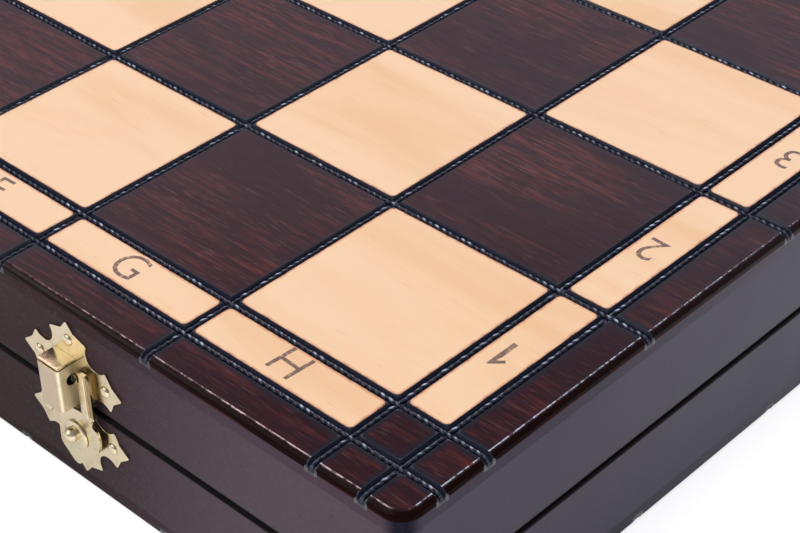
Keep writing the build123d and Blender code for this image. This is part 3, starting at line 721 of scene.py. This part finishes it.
def domes(name, body, places):
    """Domed nail heads on the plates of both latches."""
    mesh = bmesh.new()
    for sign in (-1, 1):
        for x, z in places:
            rings = []
            for ring in range(5):
                tilt = math.pi / 2 * ring / 5
                rings.append([mesh.verts.new(wall_point(
                    sign * LATCH_X + x + NAIL_R * math.cos(tilt) * math.cos(math.tau * i / 16),
                    PLATE_FRONT + NAIL_HEIGHT * math.sin(tilt),
                    z + NAIL_R * math.cos(tilt) * math.sin(math.tau * i / 16))) for i in range(16)])
            tip = mesh.verts.new(wall_point(sign * LATCH_X + x, PLATE_FRONT + NAIL_HEIGHT, z))
            for lower, upper in zip(rings, rings[1:]):
                for i in range(16):
                    mesh.faces.new((lower[i - 1], lower[i], upper[i], upper[i - 1]))
            for i in range(16):
                mesh.faces.new((rings[-1][i - 1], rings[-1][i], tip))
            mesh.faces.new(rings[0])
    bmesh.ops.recalc_face_normals(mesh, faces=mesh.faces)
    made = piece(name, mesh, brass, body)
    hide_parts(f"latch_{body}_nails")


def arm_ridge(side, sign):
    """The raised, bevelled front of a hook's arm."""
    pivot = sign * LATCH_X + RIVET_X
    mesh = bmesh.new()
    outline = [wall_point(pivot + x, HOOK_FRONT + lift, PIVOT_Z + RIDGE_LOW) for x, lift in RIDGE]
    prism(mesh, [outline], Vector((0, 0, RIDGE_HIGH - RIDGE_LOW)))
    bmesh.ops.recalc_face_normals(mesh, faces=mesh.faces)
    made = piece(f"arm_ridge_{side}", mesh, brass, f"hook_{side}")
    made.data.set_sharp_from_angle(angle=math.radians(12))


def turned(name, profile, side, sign, hang, body, replaced):
    """A round piece on a hook's pivot, from points of (radius, distance from the wall)."""
    mesh = bmesh.new()
    rings = []
    for radius, out in profile:
        if radius == 0.0:
            rings.append([mesh.verts.new(wall_point(sign * LATCH_X + RIVET_X, out, PIVOT_Z - hang))])
        else:
            rings.append([mesh.verts.new(wall_point(sign * LATCH_X + RIVET_X + radius * math.cos(math.tau * i / 32), out,
                                                    PIVOT_Z - hang + radius * math.sin(math.tau * i / 32)))
                          for i in range(32)])
    for lower, upper in zip(rings, rings[1:]):
        for i in range(32):
            if len(lower) == 1:
                mesh.faces.new((lower[0], upper[i], upper[i - 1]))
            elif len(upper) == 1:
                mesh.faces.new((lower[i - 1], lower[i], upper[0]))
            else:
                mesh.faces.new((lower[i - 1], lower[i], upper[i], upper[i - 1]))
    bmesh.ops.recalc_face_normals(mesh, faces=mesh.faces)
    made = piece(f"{name}_{side}", mesh, brass, body)
    made.data.set_sharp_from_angle(angle=math.radians(40))
    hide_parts(f"{replaced}_{side}")


def rivet(side, sign):
    """The ball and shank that the hook turns on, and the domed washer under the ball."""
    dome = [(0.0, WASHER_BACK), (WASHER_R, WASHER_BACK), (WASHER_R, WASHER_RIM - 0.0001)]
    for step in range(7):
        radius = (WASHER_R - 0.0001) * (1 - step / 6)
        dome.append((radius, WASHER_RIM + (WASHER_TOP - WASHER_RIM) * (1 - (radius / WASHER_R) ** 2)))
    turned("washer_dome", dome, side, sign, WASHER_HANG, "base", "latch_washer")
    start = math.radians(-60)
    ball = [(0.0, PLATE_FRONT), (SHANK_R, PLATE_FRONT), (SHANK_R, BALL_OUT + BALL_R * math.sin(start))]
    for step in range(13):
        tilt = start + (math.pi / 2 - start) * step / 12
        ball.append((BALL_R * math.cos(tilt) if step < 12 else 0.0, BALL_OUT + BALL_R * math.sin(tilt)))
    turned("rivet_ball", ball, side, sign, 0.0, "base", "latch_rivet")


for side, sign in (("left", -1), ("right", 1)):
    keeper(side, sign)
    rivet(side, sign)
    arm_ridge(side, sign)
for body, places in NAILS.items():
    domes(f"{body}_nail_heads", body, places)


# --- Floor, light and camera ------------------------------------------------------------------------
FLOOR_SIZE = 4.0
FLOOR_DROP = 0.00005  # below the box
WINDOWS = (  # direction, light, degrees to the inner and outer end of its edge
    ((-0.38, -0.64, 0.67), (1.9, 1.85, 1.8), 16, 32),
    ((-0.562, 0.195, 0.804), (9.0, 6.6, 6.6), 6, 9),
    ((-0.19, 0.575, 0.796), (7.0, 8.0, 9.5), 6, 9),
)


def floor_plane():
    mesh = bmesh.new()
    bmesh.ops.create_grid(mesh, x_segments=1, y_segments=1, size=FLOOR_SIZE)
    data = bpy.data.meshes.new("floor")
    mesh.to_mesh(data)
    mesh.free()
    made = bpy.data.objects.new("floor", data)
    made.location = (0, 0, -FLOOR_DROP)
    bpy.context.scene.collection.objects.link(made)
    shader = Shader("floor_white")
    path = shader.tree.nodes.new("ShaderNodeLightPath")
    seen = shader.math("MAXIMUM", path.outputs["Is Camera Ray"], path.outputs["Is Transmission Ray"])
    # Painted light in reflections: for glossy rays the floor glows more towards +X.
    reflected_glow = shader.math("MULTIPLY", path.outputs["Is Glossy Ray"], shader.ramp(shader.axes()[0], 0.085, 0.13, 0.30, 0.85))
    glow = shader.math("MULTIPLY_ADD", seen, 0.75, reflected_glow)
    data.materials.append(shader.finish(Base_Color=(0.8, 0.8, 0.8), Roughness=1.0, Specular_IOR_Level=0.0,
                                        Emission_Color=(1.0, 1.0, 1.0), Emission_Strength=glow))


def studio_world():
    """Pale room with a softbox and two small bright windows. The camera sees it white."""
    world = bpy.data.worlds.new("studio")
    bpy.context.scene.world = world
    world.use_nodes = True
    shader = Shader.__new__(Shader)
    shader.tree = world.node_tree
    background = shader.tree.nodes["Background"]
    way = shader.tree.nodes.new("ShaderNodeTexCoord").outputs["Generated"]
    split = shader.tree.nodes.new("ShaderNodeSeparateXYZ")
    shader.put(split.inputs[0], way)
    x, y, z = split.outputs
    behind = shader.math("MULTIPLY", shader.math("SUBTRACT", y, x), 0.7071)
    backdrop = shader.math("MULTIPLY", shader.ramp(behind, 0.35, 0.85), shader.ramp(z, 0.62, 0.80, 1.0, 0.0))
    colour = shader.mix(backdrop, (0.34, 0.34, 0.37), (0.62, 0.58, 0.68))
    for direction, tint, inner, outer in WINDOWS:
        dot = shader.tree.nodes.new("ShaderNodeVectorMath")
        dot.operation = "DOT_PRODUCT"
        shader.put(dot.inputs[0], way)
        dot.inputs[1].default_value = direction
        share = shader.ramp(dot.outputs["Value"], math.cos(math.radians(outer)), math.cos(math.radians(inner)))
        colour = shader.mix(share, colour, tint)
    path = shader.tree.nodes.new("ShaderNodeLightPath")
    colour = shader.mix(path.outputs["Is Camera Ray"], colour, (1.0, 1.0, 1.0))
    shader.put(background.inputs["Color"], colour)


def softbox(name, place, target, size, power, colour=(1, 1, 1)):
    light = bpy.data.lights.new(name, "AREA")
    light.shape = "RECTANGLE"
    light.size, light.size_y = size
    light.energy = power
    light.color = colour
    lamp = bpy.data.objects.new(name, light)
    lamp.location = place
    lamp.visible_glossy = False
    lamp.rotation_euler = (Vector(target) - Vector(place)).to_track_quat("-Z", "Y").to_euler()
    bpy.context.scene.collection.objects.link(lamp)


def camera():
    data = bpy.data.cameras.new("camera")
    data.lens = LENS
    data.sensor_width = SENSOR
    data.clip_start = 0.01
    made = bpy.data.objects.new("camera", data)
    azimuth, elevation = math.radians(AZIMUTH), math.radians(ELEVATION)
    look = Vector((-math.sin(azimuth) * math.cos(elevation), math.cos(azimuth) * math.cos(elevation),
                   -math.sin(elevation)))
    turn = look.to_track_quat("-Z", "Y").to_matrix().to_4x4() @ Matrix.Rotation(math.radians(ROLL), 4, "Z")
    made.matrix_world = Matrix.Translation(CAMERA) @ turn
    bpy.context.scene.collection.objects.link(made)
    bpy.context.scene.camera = made


floor_plane()
studio_world()
softbox("key_light", (-0.75, -0.10, 1.05), (0.05, 0.0, 0.02), (0.9, 0.9), 4.6)
softbox("back_light", (0.25, 1.10, 1.00), (0.05, 0.0, 0.02), (1.2, 0.5), 3.0, (0.92, 0.95, 1.0))
camera()

bpy.context.scene.view_settings.view_transform = "Standard"
